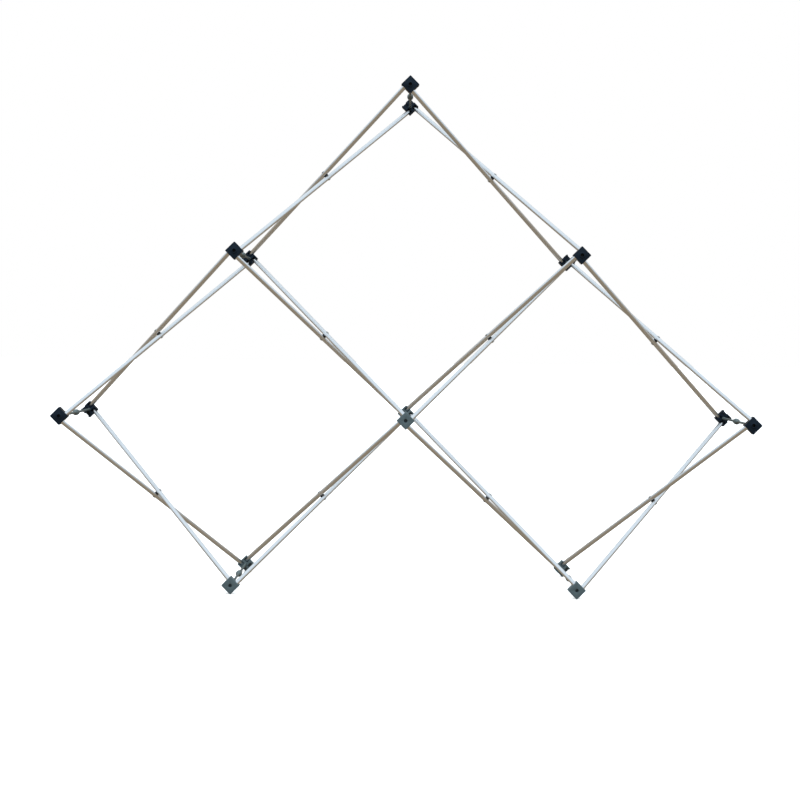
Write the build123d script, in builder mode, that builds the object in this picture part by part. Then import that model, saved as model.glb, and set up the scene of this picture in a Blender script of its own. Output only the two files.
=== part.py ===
from build123d import *
import os
from math import atan2, copysign, cos, degrees, radians, sin, sqrt

# A pop-up display frame that stands on a table: three diamond quads in a pyramid.
# Every edge of a quad is a pair of tubes that cross like scissors. A tube runs from
# the front hub at one end of its edge to the rear hub at the other end, so all the
# hubs draw together and the two layers part when the frame folds.
# +X is to the right, +Z is up and the front faces -Y. The table is at z = 0, and the
# origin is the middle of the footprint. The model stands open, with its locks shut.
# Sizes are in millimetres and slopes in degrees.

# The frame as a whole
hub_pitch = 500.0
edge_slope = 44.0
tube_span = 556.0

# Tubes, with an end pin at each end and a rivet where two of them cross
tube_diameter = 9.5
tube_wall = 1.0
tube_end_radius = 5.3
tube_offset = 5.55
pin_radius = 1.5
pin_inner_end = -3.0
pin_outer_end = 13.0
rivet_radius = 2.0
rivet_head_radius = 3.6
rivet_head_height = 1.4
washer_radius = 4.9
washer_play = 0.05
turning_play = 0.05
seat_play = 0.1

# Hubs
hub_side = 27.0
hub_depth = 16.0
hub_corner = 0.9
hub_face_chamfer = 0.6
pin_depth = 10.0
pin_reach = 10.2
slot_play = 0.3
peg_hole_radius = 3.75
peg_hole_depth = 8.0
collar_radius = 5.8
collar_height = 1.5
collar_round = 1.2

# Snap locks between the two layers, with the ball's place as a share of the frame's depth
ball_place = 0.52
ball_radius = 4.9
cup_radius = 6.5
cup_bore_radius = 5.2
cup_bore_length = 12.5
cup_floor_gap = 0.9
cup_flare = 11.0
cup_flare_slope = 0.3
cup_lip = 0.8
slit_width = 1.0
slit_length = 10.0
post_radius = 2.0
rod_radius = 2.3
spigot_radius = 1.8
spigot_length = 6.0
flange_radius = 3.2
flange_thickness = 1.5
stopper_radius = 5.9
stopper_length = 2.5
stopper_taper = 6.0
stopper_gap = 1.0

# Places of the hub pairs on the lattice: steps down to the right, steps down to the left
hub_places = {
    "top": (0, 0),
    "middle_right": (1, 0),
    "middle_left": (0, 1),
    "right": (2, 0),
    "centre": (1, 1),
    "left": (0, 2),
    "bottom_right": (2, 1),
    "bottom_left": (1, 2),
}
collared_places = ("top", "middle_right", "middle_left", "right", "left")
lattice_rows = 3
front_side = -1
rear_side = 1

# Sizes that follow from those above
slot_slopes = (edge_slope, 180 - edge_slope, 180 + edge_slope, -edge_slope)
slot_start = pin_reach - tube_end_radius - slot_play
slot_width = tube_diameter + 2 * slot_play
face_plate = pin_depth - tube_end_radius - slot_play
pin_length = pin_outer_end - pin_inner_end
pin_plane_gap = sqrt(tube_span**2 - (hub_pitch - 2 * pin_reach) ** 2)
frame_depth = pin_plane_gap + 2 * pin_depth
corner_height = hub_side / sqrt(2) - hub_corner / sqrt(2)
ball_depth = ball_place * frame_depth
cup_floor = ball_depth - ball_radius - cup_floor_gap
cup_mouth = cup_floor + cup_bore_length
stopper_depth = cup_mouth + stopper_gap
rivet_seat = tube_offset + tube_diameter / 2 + seat_play
washer_thickness = 2 * tube_offset - tube_diameter - 2 * washer_play

os.makedirs("parts", exist_ok=True)


def outer_face(place, side):
    """Plane of a hub's outer face: it looks out of the frame, and its y axis is up."""
    right_steps, left_steps = hub_places[place]
    across = (right_steps - left_steps) * hub_pitch * cos(radians(edge_slope))
    rows_up = lattice_rows - right_steps - left_steps
    height = corner_height + rows_up * hub_pitch * sin(radians(edge_slope))
    centre = (across, side * frame_depth / 2, height)
    return Plane(origin=centre, x_dir=(-side, 0, 0), z_dir=(0, side, 0))


def edge_slope_at(face, other_face):
    """Slope of the edge from one hub towards another, in the first hub's face."""
    step = other_face.origin - face.origin
    return degrees(atan2(step.Z, copysign(1, face.x_dir.X) * step.X))


def slot_directions(face, slope):
    """Directions along a hub's slot and across it, towards the side it is set over to."""
    along = face.x_dir * cos(radians(slope)) + face.y_dir * sin(radians(slope))
    across = face.x_dir * sin(radians(slope)) - face.y_dir * cos(radians(slope))
    return along, across


def pin_centre(face, slope):
    """Point where a slot's pin crosses the axis of its tube."""
    along, across = slot_directions(face, slope)
    return face.origin + along * pin_reach + across * tube_offset - face.z_dir * pin_depth


def pin_plane(face, slope, inner_end):
    """Plane across a slot's pin, at a distance from the hub's middle along the pin."""
    across = slot_directions(face, slope)[1]
    start = pin_centre(face, slope) + across * (inner_end - tube_offset)
    return Plane(origin=start, z_dir=across)


def save(label, *pieces):
    """Write one node: a single piece, or several that stay separate solids."""
    node = pieces[0] if len(pieces) == 1 else Compound(children=list(pieces))
    node.label = label
    export_step(node, f"parts/{label}.step")
    print(label, "solids:", len(node.solids()), "volume:", round(node.volume))


# A hub is a square block stood on its corner. Four slots lie round it like a pinwheel,
# open to the sides and to the inner face, and each takes the end of one tube.
def make_hub(face, collared):
    out_axis = Axis(face.origin, face.z_dir)
    with BuildPart() as hub:
        with BuildSketch(face):
            Rectangle(hub_side, hub_side, rotation=45)
        extrude(amount=-hub_depth)
        chamfer(hub.edges().filter_by(Axis.Y), hub_corner)
        chamfer(hub.faces().sort_by(out_axis)[-1].edges(), hub_face_chamfer)
        with BuildSketch(face.offset(-face_plate)):
            for slope in slot_slopes:
                turn = radians(slope)
                middle = slot_start + hub_side / 2
                centre_x = middle * cos(turn) + tube_offset * sin(turn)
                centre_y = middle * sin(turn) - tube_offset * cos(turn)
                with Locations((centre_x, centre_y)):
                    Rectangle(hub_side, slot_width, rotation=slope)
        extrude(amount=face_plate - hub_depth, mode=Mode.SUBTRACT)
        for slope in slot_slopes:
            with BuildSketch(pin_plane(face, slope, pin_inner_end - seat_play)):
                Circle(pin_radius + turning_play)
            extrude(amount=hub_side, mode=Mode.SUBTRACT)
        if collared:
            with BuildSketch(face):
                Circle(collar_radius)
            extrude(amount=collar_height)
            fillet(hub.faces().sort_by(out_axis)[-1].edges(), collar_round)
        with BuildSketch(face.offset(collar_height)):
            Circle(peg_hole_radius)
        extrude(amount=-peg_hole_depth - collar_height, mode=Mode.SUBTRACT)
        with BuildSketch(face.offset(-hub_depth)):
            Circle(spigot_radius)
        extrude(amount=spigot_length, mode=Mode.SUBTRACT)
    return hub.part


# The front half of a lock is a thin post that flares into a cup with four slit fingers.
def make_lock_socket(face):
    side_view = Plane(origin=face.origin, x_dir=face.x_dir, z_dir=face.y_dir)
    with BuildPart() as socket:
        with BuildSketch(side_view):
            with BuildLine():
                Polyline(
                    (0, cup_floor),
                    (0, hub_depth - spigot_length),
                    (spigot_radius, hub_depth - spigot_length),
                    (spigot_radius, hub_depth),
                    (flange_radius, hub_depth),
                    (flange_radius, hub_depth + flange_thickness),
                    (post_radius, hub_depth + flange_thickness),
                    (post_radius, cup_floor - cup_flare),
                )
                Spline(
                    (post_radius, cup_floor - cup_flare),
                    (cup_radius, cup_floor),
                    tangents=((0, 1), (cup_flare_slope, 1)),
                )
                Line((cup_radius, cup_floor), (cup_radius, cup_mouth - 2 * cup_lip))
                ThreePointArc(
                    (cup_radius, cup_mouth - 2 * cup_lip),
                    (cup_radius - cup_lip / 4, cup_mouth - cup_lip),
                    (cup_radius - cup_lip, cup_mouth),
                )
                Polyline(
                    (cup_radius - cup_lip, cup_mouth),
                    (cup_bore_radius, cup_mouth),
                    (cup_bore_radius, cup_floor),
                    (0, cup_floor),
                )
            make_face()
        revolve(axis=Axis(face.origin, face.z_dir))
        with BuildSketch(face.offset(-cup_mouth)):
            Rectangle(3 * cup_radius, slit_width)
            Rectangle(slit_width, 3 * cup_radius)
        extrude(amount=slit_length, mode=Mode.SUBTRACT)
    return socket.part


# The rear half is a rod with a ball on its end, and a stopper that meets the cup's mouth.
def make_lock_stud(face):
    side_view = Plane(origin=face.origin, x_dir=face.x_dir, z_dir=face.y_dir)
    ball_middle = frame_depth - ball_depth
    ball_back = ball_middle - sqrt(ball_radius**2 - rod_radius**2)
    stopper_front = frame_depth - stopper_depth
    stopper_back = stopper_front - stopper_length
    with BuildPart() as stud:
        with BuildSketch(side_view):
            with BuildLine():
                Polyline(
                    (0, hub_depth - spigot_length),
                    (spigot_radius, hub_depth - spigot_length),
                    (spigot_radius, hub_depth),
                    (flange_radius, hub_depth),
                    (flange_radius, hub_depth + flange_thickness),
                    (rod_radius, hub_depth + flange_thickness),
                    (rod_radius, stopper_back - stopper_taper),
                    (stopper_radius, stopper_back),
                    (stopper_radius, stopper_front),
                    (rod_radius, stopper_front),
                    (rod_radius, ball_back),
                )
                ThreePointArc(
                    (rod_radius, ball_back),
                    (ball_radius, ball_middle),
                    (0, ball_middle + ball_radius),
                )
                Line((0, ball_middle + ball_radius), (0, hub_depth - spigot_length))
            make_face()
        revolve(axis=Axis(face.origin, face.z_dir))
    return stud.part


# A tube's ends are cut to a round about their pins, so that they turn in their slots.
def make_tube(ends, crossing_radius):
    start = pin_centre(*ends[0])
    finish = pin_centre(*ends[1])
    middle = (start + finish) * 0.5
    along = finish - start
    across = slot_directions(*ends[0])[1]
    side_view = Plane(origin=middle, x_dir=along, z_dir=across)
    cross_section = Plane(origin=middle, x_dir=across, z_dir=along)
    with BuildPart() as tube:
        with BuildSketch(side_view):
            SlotCenterToCenter(tube_span, 2 * tube_end_radius)
        extrude(amount=tube_end_radius, both=True)
        with BuildSketch(cross_section):
            Circle(tube_diameter / 2)
        extrude(amount=tube_span, both=True, mode=Mode.INTERSECT)
        with BuildSketch(cross_section):
            Circle(tube_diameter / 2 - tube_wall)
        extrude(amount=tube_span, both=True, mode=Mode.SUBTRACT)
        with BuildSketch(side_view):
            Circle(crossing_radius)
            with Locations((-tube_span / 2, 0), (tube_span / 2, 0)):
                Circle(pin_radius)
        extrude(amount=tube_end_radius, both=True, mode=Mode.SUBTRACT)
    return tube.part


# Both end pins of a tube are pressed into it and turn in the walls of their hubs.
def make_end_pins(ends):
    with BuildPart() as pins:
        for face, slope in ends:
            with BuildSketch(pin_plane(face, slope, pin_inner_end)):
                Circle(pin_radius)
            extrude(amount=pin_length)
    return pins.part


def crossing_plane(ends):
    """Plane between the two tubes of an edge, where they cross."""
    across = slot_directions(*ends[0])[1]
    middle = (pin_centre(*ends[0]) + pin_centre(*ends[1])) * 0.5
    return Plane(origin=middle - across * tube_offset, z_dir=across)


# The rivet is set in one tube and the other turns on it, with a spacer washer between.
def make_rivet(crossing):
    with BuildPart() as rivet:
        with BuildSketch(crossing):
            Circle(rivet_radius)
        extrude(amount=rivet_seat, both=True)
        for side in (-1, 1):
            with BuildSketch(crossing.offset(side * rivet_seat)):
                Circle(rivet_head_radius)
            extrude(amount=side * rivet_head_height)
        rivet_axis = Axis(crossing.origin, crossing.z_dir)
        head_faces = rivet.faces().sort_by(rivet_axis)
        fillet(head_faces[0].edges() + head_faces[-1].edges(), rivet_head_height / 2)
    return rivet.part


def make_washer(crossing):
    with BuildPart() as washer:
        with BuildSketch(crossing.offset(-washer_thickness / 2)):
            Circle(washer_radius)
            Circle(rivet_radius, mode=Mode.SUBTRACT)
        extrude(amount=washer_thickness)
    return washer.part


def edges_of_frame():
    """Pairs of places that an edge joins, upper place first."""
    for upper, (right_steps, left_steps) in hub_places.items():
        for lower, steps in hub_places.items():
            if steps in ((right_steps + 1, left_steps), (right_steps, left_steps + 1)):
                yield upper, lower


def tube_ends(front_place, rear_place):
    """Face and slot slope of the front hub and of the rear hub that a tube joins."""
    front_face = outer_face(front_place, front_side)
    rear_face = outer_face(rear_place, rear_side)
    front_end = (front_face, edge_slope_at(front_face, rear_face))
    rear_end = (rear_face, edge_slope_at(rear_face, front_face))
    return front_end, rear_end


for place in hub_places:
    front_face = outer_face(place, front_side)
    rear_face = outer_face(place, rear_side)
    save(f"front_hub_{place}", make_hub(front_face, place in collared_places))
    save(f"rear_hub_{place}", make_hub(rear_face, place in collared_places))
    save(f"lock_socket_{place}", make_lock_socket(front_face))
    save(f"lock_stud_{place}", make_lock_stud(rear_face))

for upper, lower in edges_of_frame():
    riveted_ends = tube_ends(upper, lower)
    crossing = crossing_plane(riveted_ends)
    save(
        f"tube_{upper}_to_{lower}",
        make_tube(riveted_ends, rivet_radius),
        make_end_pins(riveted_ends),
        make_rivet(crossing),
        make_washer(crossing),
    )
    turning_ends = tube_ends(lower, upper)
    save(
        f"tube_{lower}_to_{upper}",
        make_tube(turning_ends, rivet_radius + turning_play),
        make_end_pins(turning_ends),
    )
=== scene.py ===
# %% [markdown]
# # A pop-up display frame
# The real object is a folding frame for a table top: twenty thin aluminium tubes cross in
# pairs like scissors, and their ends are pinned in sixteen small plastic hubs. The CAD model
# holds every hub, lock and tube at its true place. This lesson gives each of them its finish,
# and remakes the tubes as rounder, finer meshes with their pins, rivets and washers.

# %% Load the frame
import bmesh
import bpy
from math import atan2, cos, hypot, pi, radians, sin, sqrt
from mathutils import Matrix, Vector


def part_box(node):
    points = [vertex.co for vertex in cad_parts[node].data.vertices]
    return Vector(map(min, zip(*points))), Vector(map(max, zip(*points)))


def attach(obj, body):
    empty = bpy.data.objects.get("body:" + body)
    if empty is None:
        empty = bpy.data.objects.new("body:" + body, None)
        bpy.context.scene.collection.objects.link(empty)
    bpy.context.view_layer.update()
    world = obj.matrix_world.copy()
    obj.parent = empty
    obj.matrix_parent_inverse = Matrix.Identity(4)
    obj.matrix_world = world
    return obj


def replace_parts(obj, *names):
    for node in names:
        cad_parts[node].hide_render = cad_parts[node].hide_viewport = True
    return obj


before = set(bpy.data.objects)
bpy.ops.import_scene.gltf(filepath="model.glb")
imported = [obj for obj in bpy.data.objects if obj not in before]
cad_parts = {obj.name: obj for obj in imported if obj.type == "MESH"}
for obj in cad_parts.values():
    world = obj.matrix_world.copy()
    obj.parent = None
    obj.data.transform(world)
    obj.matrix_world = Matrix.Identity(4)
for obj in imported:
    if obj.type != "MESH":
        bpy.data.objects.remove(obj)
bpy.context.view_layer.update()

# %% [markdown]
# Sizes are in metres. The hubs give every place in the frame, so only the small sizes that
# their boxes can't tell are written here: how far a pin stands from its hub's middle, how
# far a tube is set over to one side of its edge, and how thick things are.

# %% Sizes
hub_depth = 0.016
hub_rounding = 0.0003
pin_reach = 0.0102
pin_depth = 0.010
tube_offset = 0.00555
tube_radius = 0.00475
tube_wall = 0.001
tube_end_radius = 0.0053
tube_rim_round = 0.0002
pin_radius = 0.0015
pin_inner_end = -0.003
pin_outer_end = 0.0130
pin_chamfer = 0.0003
rivet_shank_radius = 0.002
rivet_head_radius = 0.0036
rivet_head_rim = 0.0005
rivet_head_height = 0.0014
rivet_seat = 0.0004
washer_radius = 0.0049
washer_bore = 0.002
washer_thickness = 0.0015
washer_chamfer = 0.0002
thinnest_rod = 0.0019
socket_rod_radius = 0.0026
stud_rod_radius = 0.0025
print("tube width:", 2 * tube_radius)

# %% [markdown]
# Round pieces are made of flat facets. These numbers say how many go once round each of
# them. Edges that turn by more than the crease angle, in degrees, stay sharp in the shading.

# %% Fineness
tube_steps = 48
pin_steps = 24
rivet_steps = 32
washer_steps = 40
dome_steps = 6
metal_crease = 35
moulding_crease = 40
merge_distance = 1e-6
print("facets round a tube:", tube_steps)

# %% [markdown]
# The hubs sit on a lattice. A place is counted in steps down to the right and steps down to
# the left from the top, and two places are joined by an edge when they are one step apart.
# The five black hubs are the ones along the top of the pyramid.

# %% Places and edges
places = {
    "top": (0, 0),
    "middle_right": (1, 0),
    "middle_left": (0, 1),
    "right": (2, 0),
    "centre": (1, 1),
    "left": (0, 2),
    "bottom_right": (2, 1),
    "bottom_left": (1, 2),
}
black_places = ("top", "middle_right", "middle_left", "right", "left")
edges = [
    (upper, lower)
    for upper, (right, left) in places.items()
    for lower, steps in places.items()
    if steps in ((right + 1, left), (right, left + 1))
]
print("edges:", len(edges))

# %% [markdown]
# Where a tube runs follows from the two hubs it joins. At both ends it is set over to the
# same side of the straight line between the hubs: clockwise from that line at the front hub.
# That is why two tubes can cross without touching.

# %% Ends of a tube


def hub_middle(place, layer):
    """Middle of a hub at the depth of its pins."""
    low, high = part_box(f"{layer}_hub_{place}")
    inner_face = high.y if layer == "front" else low.y
    inward = 1 if layer == "front" else -1
    pins_from_inner_face = hub_depth - pin_depth
    middle = (low + high) / 2
    return Vector((middle.x, inner_face - inward * pins_from_inner_face, middle.z))


def tube_line(front_place, rear_place):
    """Both pin centres of a tube, and the direction of its pins."""
    front = hub_middle(front_place, "front")
    rear = hub_middle(rear_place, "rear")
    run = Vector((rear.x - front.x, 0, rear.z - front.z)).normalized()
    across = Vector((run.z, 0, -run.x))
    start = front + run * pin_reach + across * tube_offset
    finish = rear - run * pin_reach + across * tube_offset
    return start, finish, across


sample_start, sample_finish, _ = tube_line("top", "middle_left")
tube_span = (sample_finish - sample_start).length
print("tube span between its pins:", round(tube_span, 4))

# %% [markdown]
# ## Maths on materials
# A pattern is easier to read as a line of arithmetic than as a web of nodes. This class
# wraps the output of a node, so that adding or multiplying two of them makes the Math node.
# Any other node comes from one method, which sets the node up and joins its sockets.

# %% Signal class


class Signal:
    """The output of a node in a material, which can be added, multiplied and so on."""

    def __init__(self, tree, output=None):
        self.tree = tree
        self.output = output

    def node(self, kind, settings=None, inputs=None, output=0):
        """Makes a node, sets it up, and gives one of its outputs."""
        made = self.tree.nodes.new(kind)
        for name, value in (settings or {}).items():
            if name == "stops":
                set_stops(made.color_ramp, value)
            else:
                setattr(made, name, value)
        for socket, value in (inputs or {}).items():
            if isinstance(value, Signal):
                self.tree.links.new(value.output, made.inputs[socket])
            else:
                made.inputs[socket].default_value = value
        return Signal(self.tree, made.outputs[output])

    def maths(self, operation, first, second):
        """A Math node with two inputs."""
        return self.node("ShaderNodeMath", {"operation": operation}, {0: first, 1: second})

    def __add__(self, other):
        return self.maths("ADD", self, other)

    def __sub__(self, other):
        return self.maths("SUBTRACT", self, other)

    def __mul__(self, other):
        return self.maths("MULTIPLY", self, other)


def set_stops(ramp, stops):
    """Gives a colour ramp its stops: pairs of a position and a colour or a grey."""
    while len(ramp.elements) < len(stops):
        ramp.elements.new(0.5)
    for element, (position, value) in zip(ramp.elements, stops):
        colour = value if isinstance(value, tuple) else (value, value, value)
        element.position = position
        element.color = (*colour, 1)


# %% [markdown]
# A new material starts with a Principled shader alone. What is the same all over goes
# straight on the shader's sockets, and only what varies is linked to it. The Mix node has
# several sockets of one name, so the ones for colours are told apart by their numbers.

# %% New material
mix_factor, mix_first_colour, mix_second_colour, mix_colour_result = 0, 6, 7, 2


def socket_name(word):
    """The shader's own name for a socket: base_color is Base Color, and ior is IOR."""
    return word.replace("_", " ").title().replace("Ior", "IOR")


def new_material(name, **constants):
    """A material with a Principled shader, and a Signal to build its patterns from."""
    material = bpy.data.materials.new(name)
    material.use_nodes = True
    tree = material.node_tree
    shader = tree.nodes["Principled BSDF"]
    for socket, value in constants.items():
        shader.inputs[socket_name(socket)].default_value = value
    return material, shader, Signal(tree)


def feed(shader, **signals):
    """Links signals to sockets of a shader."""
    for socket, signal in signals.items():
        signal.tree.links.new(signal.output, shader.inputs[socket_name(socket)])


def blend_colours(base, factor, first, second):
    """Mixes two colours by a signal."""
    return base.node(
        "ShaderNodeMix",
        {"data_type": "RGBA"},
        {mix_factor: factor, mix_first_colour: (*first, 1), mix_second_colour: (*second, 1)},
        output=mix_colour_result,
    )


def noise(base, place, scale, detail=3.0, roughness=0.5):
    """A noise pattern between 0 and 1."""
    sockets = {"Vector": place, "Scale": scale, "Detail": detail, "Roughness": roughness}
    return base.node("ShaderNodeTexNoise", None, sockets)


def bump(base, height, distance, strength):
    """A bumped normal from a height."""
    sockets = {"Height": height, "Distance": distance, "Strength": strength}
    return base.node("ShaderNodeBump", None, sockets)


def ramp(base, signal, *stops):
    """Maps a signal through a ramp of greys or colours."""
    return base.node("ShaderNodeValToRGB", {"stops": stops}, {"Fac": signal})


# %% [markdown]
# ## Moulded plastic
# The hubs and locks are injection-moulded nylon. Its colour is nearly even, with a faint
# cloudiness, and the mould leaves a fine spark-eroded grain that breaks up the highlights.
# Handling polishes some patches, so the roughness wanders slowly over a few millimetres.
# Object coordinates suit all of it, because the grain has no direction.

# %% Plastic materials


def moulded_plastic(name, colour, cloud, gloss_low, gloss_high, shine):
    """Nylon with a cloudy colour, a fine grain and polished patches."""
    material, shader, base = new_material(name, ior=1.53, specular_ior_level=shine)
    place = base.node("ShaderNodeTexCoord", output="Object")
    clouds = noise(base, place, scale=90.0, detail=4.0)
    patches = noise(base, place, scale=160.0, detail=2.0)
    grain = noise(base, place, scale=2600.0, detail=2.0)
    specks = noise(base, place, scale=420.0, detail=6.0, roughness=0.7)
    scuffs = ramp(base, specks, (0.58, 0.0), (0.75, 1.0))
    darker = tuple(part * (1 - cloud) for part in colour)
    lighter = tuple(part * (1 + cloud) for part in colour)
    feed(
        shader,
        base_color=blend_colours(base, clouds * 0.8 + scuffs * 0.2, darker, lighter),
        roughness=patches * (gloss_high - gloss_low) + gloss_low + scuffs * 0.06,
        normal=bump(base, grain * 0.7 + scuffs * 0.3, distance=0.00012, strength=0.35),
    )
    return material


black_nylon = moulded_plastic(
    "black_nylon",
    colour=(0.0065, 0.0145, 0.0260),
    cloud=0.25,
    gloss_low=0.26,
    gloss_high=0.40,
    shine=0.14,
)
slate_nylon = moulded_plastic(
    "slate_nylon",
    colour=(0.094, 0.134, 0.150),
    cloud=0.08,
    gloss_low=0.42,
    gloss_high=0.58,
    shine=0.30,
)
lock_nylon = moulded_plastic(
    "lock_nylon",
    colour=(0.100, 0.132, 0.136),
    cloud=0.08,
    gloss_low=0.30,
    gloss_high=0.46,
    shine=0.45,
)
washer_nylon = moulded_plastic(
    "washer_nylon",
    colour=(0.008, 0.009, 0.011),
    cloud=0.2,
    gloss_low=0.40,
    gloss_high=0.55,
    shine=0.25,
)
print("plastics:", [made.name for made in (black_nylon, slate_nylon, lock_nylon, washer_nylon)])

# %% [markdown]
# ## Drawn aluminium
# The tubes are drawn through a die and clear anodised. Drawing leaves fine lines along the
# tube, so the pattern must follow the tube's own length and girth, and the mesh gets a UV
# map in metres for that. Noise that is stretched far along the length makes the lines, at
# two widths. A slow noise on top makes the faint cloudiness of the anodised layer.

# %% Aluminium and steel materials


def drawn_lines(base, place, changes_along, changes_across, detail, roughness=0.5):
    """Noise that is stretched along the first direction of a UV map."""
    stretch = {0: place, 1: (changes_along, changes_across, 1.0)}
    stretched = base.node("ShaderNodeVectorMath", {"operation": "MULTIPLY"}, stretch)
    return noise(base, stretched, 1.0, detail, roughness)


def drawn_metal(name, colour, shade, lines_across, rough, line_depth):
    """Metal with fine lines along the first direction of the piece's UV map."""
    material, shader, base = new_material(name, metallic=1.0)
    place = base.node("ShaderNodeUVMap", {"uv_map": "along_and_round"})
    fine_lines = drawn_lines(base, place, 6.0, lines_across, detail=4.0, roughness=0.6)
    broad_lines = drawn_lines(base, place, 2.5, lines_across / 5, detail=2.0)
    clouds = noise(base, place, scale=35.0, detail=3.0)
    darker = tuple(part * (1 - shade) for part in colour)
    tone = fine_lines * 0.4 + broad_lines * 0.35 + clouds * 0.25
    feed(
        shader,
        base_color=blend_colours(base, tone, darker, colour),
        roughness=fine_lines * 0.12 + clouds * 0.06 + rough,
        normal=bump(base, fine_lines * 0.6 + broad_lines * 0.4, line_depth, strength=0.25),
    )
    return material


anodised = drawn_metal(
    "anodised_aluminium",
    colour=(0.93, 0.935, 0.94),
    shade=0.10,
    lines_across=2400.0,
    rough=0.20,
    line_depth=0.00006,
)
pin_steel = drawn_metal(
    "pin_steel",
    colour=(0.62, 0.62, 0.61),
    shade=0.15,
    lines_across=3000.0,
    rough=0.22,
    line_depth=0.00004,
)
print("metals:", [made.name for made in (anodised, pin_steel)])

# %% [markdown]
# A finish is a slot of the part's record with the material that shows it here. The washers
# share the slot of the black hubs, and the small steel pieces share the slot of the tubes.

# %% Finishes
finishes = {
    "lock": ("lock_grey", lock_nylon),
    "black": ("black_hub", black_nylon),
    "slate": ("slate_hub", slate_nylon),
    "washer": ("black_hub", washer_nylon),
    "tube": ("tube_aluminium", anodised),
    "steel": ("tube_aluminium", pin_steel),
}
print("finishes:", ", ".join(finishes))

# %% [markdown]
# ## Shapes in mesh code
# Every new piece is made about its own axis first, which is the Z axis, and is then carried
# to its place with one transform, so that its object can stay at the origin.

# %% Helpers for meshes


def place_matrix(origin, axis, side):
    """Carries Z to an axis and Y to a side direction, at an origin."""
    depth = axis.normalized()
    flat = side.normalized()
    turn = Matrix((flat.cross(depth), flat, depth)).transposed()
    return Matrix.Translation(origin) @ turn.to_4x4()


def add_length_and_girth(shape, start):
    """UV map in metres: along Z, and round it. It has to be made before the piece is placed."""
    layer = shape.loops.layers.uv.new("along_and_round")
    for face in shape.faces:
        facing = face.calc_center_median()
        turn_of_face = atan2(facing.y, facing.x)
        for loop in face.loops:
            spot = loop.vert.co
            turn = atan2(spot.y, spot.x)
            if turn - turn_of_face > pi:
                turn -= 2 * pi
            if turn_of_face - turn > pi:
                turn += 2 * pi
            loop[layer].uv = (spot.z + start, turn * tube_radius)


def finish_piece(shape, name, finish, matrix, body, crease=metal_crease):
    """Places a shape and makes it a piece that rides on a body."""
    record_slot, material = finish
    bmesh.ops.recalc_face_normals(shape, faces=shape.faces)
    bmesh.ops.transform(shape, matrix=matrix, verts=shape.verts)
    mesh = bpy.data.meshes.new(name)
    shape.to_mesh(mesh)
    shape.free()
    mesh.shade_smooth()
    mesh.set_sharp_from_angle(angle=radians(crease))
    mesh.materials.append(material)
    piece = bpy.data.objects.new(name, mesh)
    bpy.context.scene.collection.objects.link(piece)
    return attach(piece, body)


def lathe(outline, steps):
    """Spins an outline of radius and height pairs once round Z."""
    shape = bmesh.new()
    corners = [shape.verts.new((radius, 0, height)) for radius, height in outline]
    rim = [shape.edges.new(pair) for pair in zip(corners, corners[1:])]
    bmesh.ops.spin(
        shape,
        geom=corners + rim,
        cent=(0, 0, 0),
        axis=(0, 0, 1),
        angle=2 * pi,
        steps=steps,
        use_merge=True,
    )
    bmesh.ops.remove_doubles(shape, verts=shape.verts, dist=merge_distance)
    return shape


# %% [markdown]
# ## Tubes
# A tube is the outline of its wall, with softened rims, spun once round Z. Its ends are
# cut to a round about the pins, which here is a shift of the end rings: a point's distance
# past the pin follows a circle about the pin's axis.

# %% Tube shape


def tube_shape(start):
    """A hollow tube on Z between two pins, with rounded ends."""
    half = tube_span / 2
    inner = tube_radius - tube_wall
    middle_of_round = tube_rim_round * (1 - sqrt(0.5))
    rim = [
        (inner, half - tube_rim_round),
        (inner + middle_of_round, half - middle_of_round),
        (inner + tube_rim_round, half),
        (tube_radius - tube_rim_round, half),
        (tube_radius - middle_of_round, half - middle_of_round),
        (tube_radius, half - tube_rim_round),
    ]
    far_rim = [(radius, -height) for radius, height in reversed(rim)]
    shape = lathe(rim + far_rim + rim[:1], tube_steps)
    for vert in shape.verts:
        past_pin = sqrt(tube_end_radius**2 - vert.co.x**2)
        vert.co.z += past_pin if vert.co.z > 0 else -past_pin
    add_length_and_girth(shape, start)
    return shape


# %% [markdown]
# The end pins are short steel rods with a small chamfer, one through each end of the tube
# and out into the hub's walls. The rivet at the crossing has two low domed heads, and a
# black spacer washer on it keeps the tubes apart. Spinning an outline makes all three.

# %% Pin, rivet and washer shapes


def pin_shape():
    """A chamfered rod on Z."""
    length = pin_outer_end - pin_inner_end
    outline = (
        (0, 0),
        (pin_radius - pin_chamfer, 0),
        (pin_radius, pin_chamfer),
        (pin_radius, length - pin_chamfer),
        (pin_radius - pin_chamfer, length),
        (0, length),
    )
    shape = lathe(outline, pin_steps)
    add_length_and_girth(shape, 0)
    return shape


def rivet_shape():
    """A shank on Z, centred, with a domed head at each end."""
    seat = tube_offset + tube_radius - rivet_seat
    rim = seat + rivet_head_rim
    turns = [pi / 2 * step / dome_steps for step in range(dome_steps)]
    dome = [
        (rivet_head_radius * cos(turn), rim + rivet_head_height * sin(turn)) for turn in turns
    ]
    crown = (0, rim + rivet_head_height)
    upper = [(rivet_shank_radius, seat), (rivet_head_radius, seat), *dome, crown]
    lower = [(radius, -height) for radius, height in reversed(upper)]
    shape = lathe(lower + upper, rivet_steps)
    add_length_and_girth(shape, 0)
    return shape


def washer_shape():
    """A flat ring on Z, centred, with softened rims."""
    half = washer_thickness / 2
    outline = (
        (washer_bore, -half),
        (washer_radius - washer_chamfer, -half),
        (washer_radius, washer_chamfer - half),
        (washer_radius, half - washer_chamfer),
        (washer_radius - washer_chamfer, half),
        (washer_bore, half),
        (washer_bore, -half),
    )
    return lathe(outline, washer_steps)


# %% [markdown]
# Each edge has two tubes. The one whose front end is at the upper hub holds the rivet and
# the washer, and the other one turns on them, so these ride on the first tube's body. The
# pattern of the metal starts a little further along for each tube, so no two look the same.

# %% Make the tubes
pattern_shift = 0.7
made_tubes = []


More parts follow.
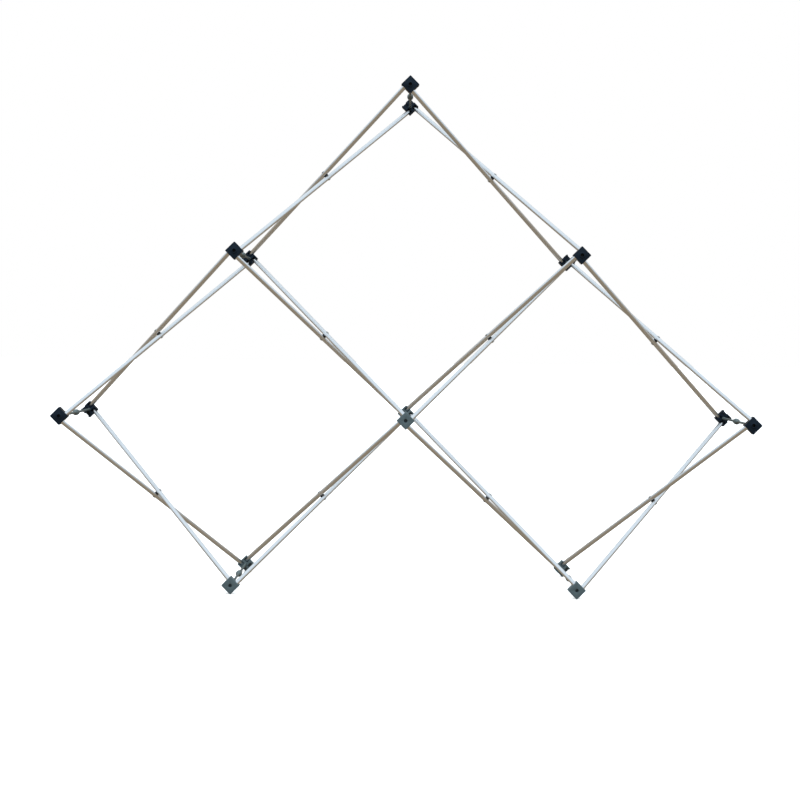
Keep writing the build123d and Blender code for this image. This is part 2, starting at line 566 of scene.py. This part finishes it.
def make_tube(front_place, rear_place, riveted):
    """One tube with its pins, and with the rivet and washer if it holds them."""
    node = f"tube_{front_place}_to_{rear_place}"
    start, finish, across = tube_line(front_place, rear_place)
    run = finish - start
    middle = (start + finish) / 2
    shape = tube_shape(pattern_shift * len(made_tubes))
    lengthways = place_matrix(middle, run, across)
    wall = finish_piece(shape, node + "_wall", finishes["tube"], lengthways, node)
    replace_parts(wall, node)
    for end, spot in (("front", start), ("rear", finish)):
        foot = spot + across * (pin_inner_end - tube_offset)
        matrix = place_matrix(foot, across, run)
        finish_piece(pin_shape(), f"{node}_{end}_pin", finishes["steel"], matrix, node)
    if riveted:
        crossing = place_matrix(middle - across * tube_offset, across, run)
        finish_piece(rivet_shape(), node + "_rivet", finishes["steel"], crossing, node)
        finish_piece(washer_shape(), node + "_washer", finishes["washer"], crossing, node)
    made_tubes.append(node)


for upper, lower in edges:
    make_tube(upper, lower, riveted=True)
    make_tube(lower, upper, riveted=False)
print("tubes:", len(made_tubes))

# %% [markdown]
# ## Hubs and locks
# The CAD hubs have the right form, but their edges are sharp, and moulded edges never are.
# A copy of each is merged, its flat faces are made whole again, and its edges get a small
# rounding that catches the light. The locks are round already, and their copies get thicker
# rods: points between the rod's old and new radius are moved out to the new one. That also
# moves the foot of the cup's flare and one ring near the tip of the ball, by under a
# millimetre, and it leaves the thin ends that sit in the hubs alone.

# %% Make the hubs


def merged_copy(node):
    """A copy of a CAD node with its loose triangles joined into whole faces."""
    shape = bmesh.new()
    shape.from_mesh(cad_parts[node].data)
    bmesh.ops.remove_doubles(shape, verts=shape.verts, dist=merge_distance)
    bmesh.ops.dissolve_limit(
        shape, angle_limit=radians(1), verts=shape.verts, edges=shape.edges
    )
    return shape


def softened_hub(node, finish):
    """A copy of a hub with rounded edges, which replaces it."""
    shape = merged_copy(node)
    sharp = [edge for edge in shape.edges if edge.calc_face_angle(0) > radians(30)]
    bmesh.ops.bevel(
        shape,
        geom=sharp,
        offset=hub_rounding,
        offset_type="OFFSET",
        affect="EDGES",
        segments=2,
        profile=0.5,
        material=-1,
        clamp_overlap=True,
    )
    name = node + "_moulding"
    piece = finish_piece(shape, name, finish, Matrix.Identity(4), node, moulding_crease)
    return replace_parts(piece, node)


def lock_half(node, body, rod_radius):
    """A copy of half a lock with its thin rod drawn out to a radius, which replaces it."""
    low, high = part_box(node)
    middle = (low + high) / 2
    shape = merged_copy(node)
    for vert in shape.verts:
        reach = hypot(vert.co.x - middle.x, vert.co.z - middle.z)
        if thinnest_rod < reach < rod_radius:
            vert.co.x = middle.x + (vert.co.x - middle.x) * rod_radius / reach
            vert.co.z = middle.z + (vert.co.z - middle.z) * rod_radius / reach
    name, finish = node + "_moulding", finishes["lock"]
    piece = finish_piece(shape, name, finish, Matrix.Identity(4), body, moulding_crease)
    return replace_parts(piece, node)


for place in places:
    hub_finish = finishes["black" if place in black_places else "slate"]
    for layer in ("front", "rear"):
        softened_hub(f"{layer}_hub_{place}", hub_finish)
    lock_half(f"lock_socket_{place}", f"front_hub_{place}", socket_rod_radius)
    lock_half(f"lock_stud_{place}", f"rear_hub_{place}", stud_rod_radius)
print("hubs:", 2 * len(places), "halves of locks:", 2 * len(places))

# %% [markdown]
# ## Studio
# The photograph is a plain cut-out on white, so the stage is a pale floor under a white sky.
# The floor is left out of mirrored and bounced light, so that it doesn't brighten the
# undersides.

# %% Floor


def make_floor():
    """A wide pale floor that isn't part of the object."""
    shape = bmesh.new()
    bmesh.ops.create_grid(shape, x_segments=2, y_segments=2, size=30)
    mesh = bpy.data.meshes.new("floor")
    shape.to_mesh(mesh)
    shape.free()
    material, shader, base = new_material("pale_floor", roughness=0.9, emission_strength=0.5)
    shader.inputs["Emission Color"].default_value = (1, 1, 1, 1)
    place = base.node("ShaderNodeTexCoord", output="Object")
    soft = noise(base, place, scale=3.0)
    feed(shader, base_color=blend_colours(base, soft, (0.90, 0.90, 0.90), (0.92, 0.92, 0.92)))
    mesh.materials.append(material)
    floor = bpy.data.objects.new("floor", mesh)
    floor.visible_glossy = False
    floor.visible_diffuse = False
    bpy.context.scene.collection.objects.link(floor)


make_floor()
print("stage: floor")

# %% [markdown]
# Bare metal shows what it mirrors. The tubes that lean back mirror the bright ceiling and
# look bluish white, and the tubes that lean forward mirror the room's warm floor and look
# tan. So the sky is cool and bright above, and warm and darker below and towards the back.
# The camera itself sees plain white.

# %% Sky


def make_sky():
    """White to the eye, and to the tubes cool above and warm below."""
    world = bpy.data.worlds.new("studio")
    world.use_nodes = True
    tree = world.node_tree
    base = Signal(tree)
    direction = base.node("ShaderNodeTexCoord", output="Generated")
    height = base.node("ShaderNodeSeparateXYZ", None, {"Vector": direction}, output="Z")
    depth = base.node("ShaderNodeSeparateXYZ", None, {"Vector": direction}, output="Y")
    behind = base.maths("MAXIMUM", depth, 0.0)
    room = ramp(
        base,
        (height - behind * 0.5) * 0.5 + 0.5,
        (0.0, (0.26, 0.215, 0.155)),
        (0.42, (0.31, 0.265, 0.20)),
        (0.52, (0.38, 0.36, 0.33)),
        (0.64, (0.70, 0.83, 0.95)),
        (1.0, (0.80, 0.90, 0.98)),
    )
    seen = base.node("ShaderNodeLightPath", output="Is Camera Ray")
    colour = base.node(
        "ShaderNodeMix",
        {"data_type": "RGBA"},
        {mix_factor: seen, mix_first_colour: room, mix_second_colour: (1, 1, 1, 1)},
        output=mix_colour_result,
    )
    tree.links.new(colour.output, tree.nodes["Background"].inputs["Color"])
    bpy.context.scene.world = world


make_sky()
print("sky:", bpy.context.scene.world.name)

# %% [markdown]
# A large soft light stands high in front and a little to the left, and a wide one overhead
# fills the rest. Neither shows in the metal, which mirrors the sky alone.

# %% Lights


def softbox(name, place, aim, size, power, colour):
    """A square area light that points at a spot."""
    light = bpy.data.lights.new(name, "AREA")
    light.size = size
    light.energy = power
    light.color = colour
    lamp = bpy.data.objects.new(name, light)
    lamp.location = place
    lamp.rotation_euler = (Vector(aim) - Vector(place)).to_track_quat("-Z", "Y").to_euler()
    lamp.visible_glossy = False
    bpy.context.scene.collection.objects.link(lamp)


def overhead(name, lean, strength, spread):
    """A wide soft light from far above, so that the floor is evenly lit."""
    light = bpy.data.lights.new(name, "SUN")
    light.energy = strength
    light.angle = radians(spread)
    lamp = bpy.data.objects.new(name, light)
    lamp.rotation_euler = (radians(lean), 0, 0)
    lamp.visible_glossy = False
    bpy.context.scene.collection.objects.link(lamp)


softbox(
    "key_softbox",
    place=(-0.4, -2.0, 2.8),
    aim=(0, 0, 0.6),
    size=1.6,
    power=24,
    colour=(0.95, 0.98, 1.0),
)
overhead("ceiling", lean=20, strength=1.5, spread=60)

# %% [markdown]
# ## Camera
# The hub centres in the photograph fix the camera: nearly level, at half the height of the
# frame, three metres away, and turned clockwise by under a degree. The photograph was cropped
# a little off its centre, so the camera has a small shift. Its angles are in degrees.

# %% Camera
camera_place = (0.0022, -3.1301, 0.5331)
camera_pitch = -0.982
camera_yaw = 0.301
camera_roll = -0.790
camera_lens = 64.839
camera_sensor = 36
camera_rise = -0.0442


def make_camera():
    """The photograph's view: it looks along +Y, then is turned a little about its own axes."""
    camera = bpy.data.cameras.new("camera")
    camera.lens = camera_lens
    camera.sensor_width = camera_sensor
    camera.shift_y = camera_rise
    view = bpy.data.objects.new("camera", camera)
    turn = (
        Matrix.Rotation(radians(camera_yaw), 4, "Z")
        @ Matrix.Rotation(radians(camera_pitch), 4, "X")
        @ Matrix.Rotation(radians(camera_roll), 4, "Y")
        @ Matrix.Rotation(radians(90), 4, "X")
    )
    view.matrix_world = Matrix.Translation(camera_place) @ turn
    bpy.context.scene.collection.objects.link(view)
    bpy.context.scene.camera = view


make_camera()
bpy.context.scene.view_settings.view_transform = "Standard"
print("camera lens:", camera_lens)
